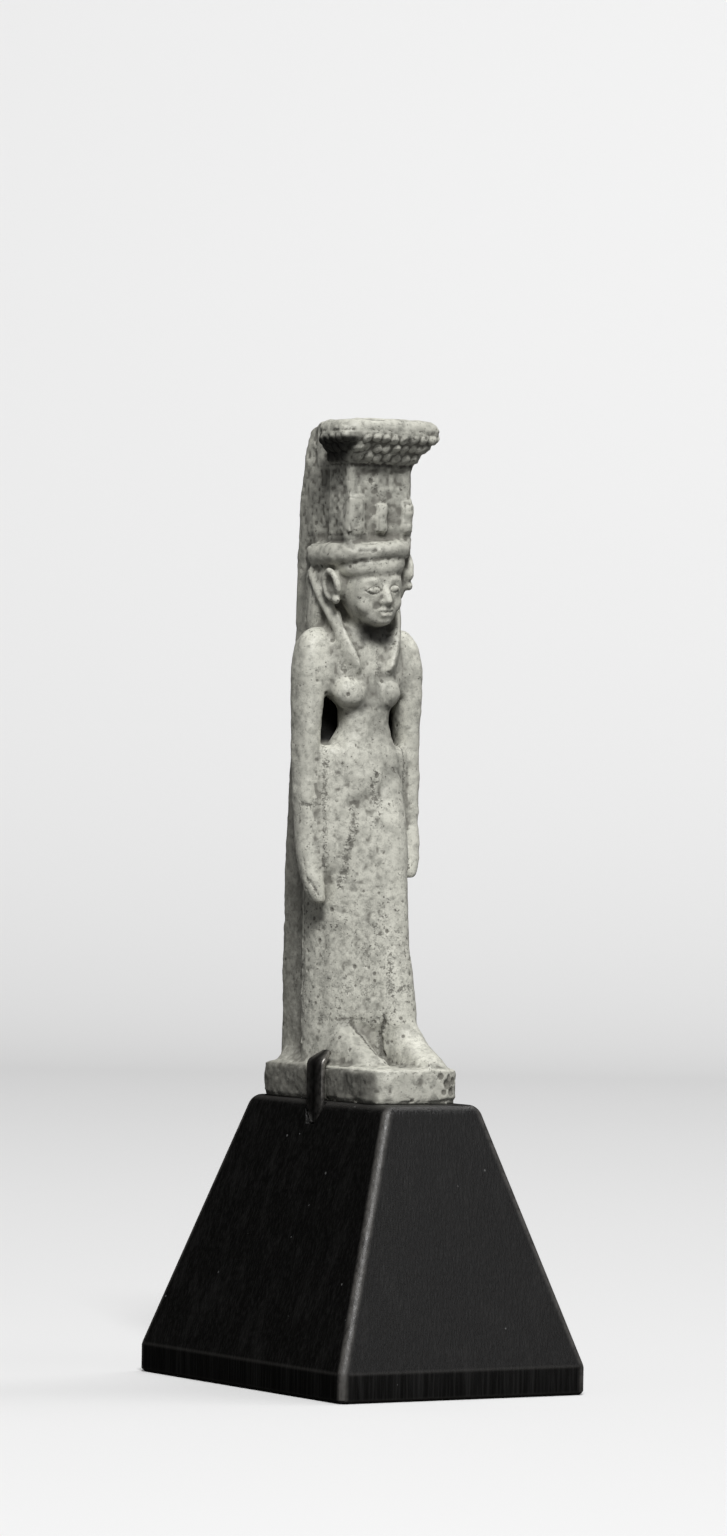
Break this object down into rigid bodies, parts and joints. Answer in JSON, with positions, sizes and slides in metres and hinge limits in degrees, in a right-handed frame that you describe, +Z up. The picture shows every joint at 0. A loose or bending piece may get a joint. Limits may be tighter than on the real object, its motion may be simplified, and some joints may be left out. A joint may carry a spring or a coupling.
{
  "type": "nephthys amulet",
  "caption": "Small striding goddess figure with a tall basket headdress and back pillar on its own slab, clipped upright to a dark pyramid stand.",
  "frame": {"origin": "centre of the stand's underside", "axes": "+Z up along the figure, -Y the way the figure faces, +X the figure's own left"},
  "size_m": [0.0216, 0.0302, 0.0737],
  "materials": {
    "weathered_faience": "matt weathered faience with small dark pits and faint worn sheen",
    "ebonised_wood": "satin black stained fine-grained wood with rubbed edges",
    "dark_metal": "thin strip darkened to near black, rubbed at the edges"
  },
  "bodies": {
    "root": {"amulet": "weathered_faience", "stand": "ebonised_wood", "clip_right": "dark_metal", "clip_left": "dark_metal"}
  },
  "joints": []
}
